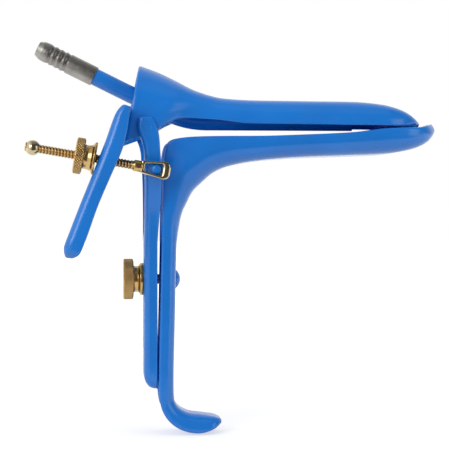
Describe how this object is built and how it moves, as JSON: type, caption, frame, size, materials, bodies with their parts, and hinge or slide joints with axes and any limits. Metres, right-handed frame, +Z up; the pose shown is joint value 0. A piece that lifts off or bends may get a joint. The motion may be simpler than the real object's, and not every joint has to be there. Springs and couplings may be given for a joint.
{
  "type": "bivalve speculum",
  "caption": "Bivalve speculum with coated steel blades, thumb lever, locking brass nuts and a smoke tube along the upper blade.",
  "frame": {"origin": "on the hinge axis of the two blades, midway between the two pivots", "axes": "+X along the blades away from the user, +Z up towards the upper blade, -Y is the side with the thumb lever"},
  "size_m": [0.1614, 0.0503, 0.1531],
  "materials": {
    "blue_coat": "gloss",
    "brass": "satin",
    "bare_steel": "satin"
  },
  "bodies": {
    "lower_blade": {"lower_blade": "blue_coat", "height_bolt": "blue_coat"},
    "yoke": {"yoke": "blue_coat", "right_pivot_rivet": "blue_coat", "left_pivot_rivet": "blue_coat", "swivel_lug": "blue_coat"},
    "upper_blade": {"upper_blade": "blue_coat", "thumb_lever": "blue_coat", "smoke_tube": "blue_coat", "hose_barb": "bare_steel", "front_tube_saddle": "blue_coat", "rear_tube_saddle": "blue_coat"},
    "angle_screw": {"angle_screw": "brass", "angle_screw_ball": "brass"},
    "angle_nut": {"angle_nut": "brass"},
    "height_nut": {"height_nut": "brass"}
  },
  "joints": [
    {"name": "height_slide", "type": "slide", "parent": "lower_blade", "child": "yoke", "axis": [0, 0, 1], "range_m": [0, 0.025]},
    {"name": "height_nut_turn", "type": "hinge", "parent": "lower_blade", "child": "height_nut", "pos_m": [0, 0, -0.0589], "axis": [-1, 0, 0], "range_deg": [0, 720]},
    {"name": "blade_hinge", "type": "hinge", "parent": "yoke", "child": "upper_blade", "pos_m": [0, 0, 0], "axis": [0, -1, 0], "range_deg": [0, 25]},
    {"name": "screw_swivel", "type": "hinge", "parent": "yoke", "child": "angle_screw", "pos_m": [0.0036, -0.0226, -0.01635], "axis": [0, -1, 0], "range_deg": [0, 20]},
    {"name": "angle_nut_travel", "type": "slide", "parent": "angle_screw", "child": "angle_nut", "axis": [-0.9856, 0, 0.1693], "range_m": [0, 0.0138]}
  ],
  "couplings": [
    {"joint": "screw_swivel", "follows": "blade_hinge", "ratio": 0.8}
  ]
}
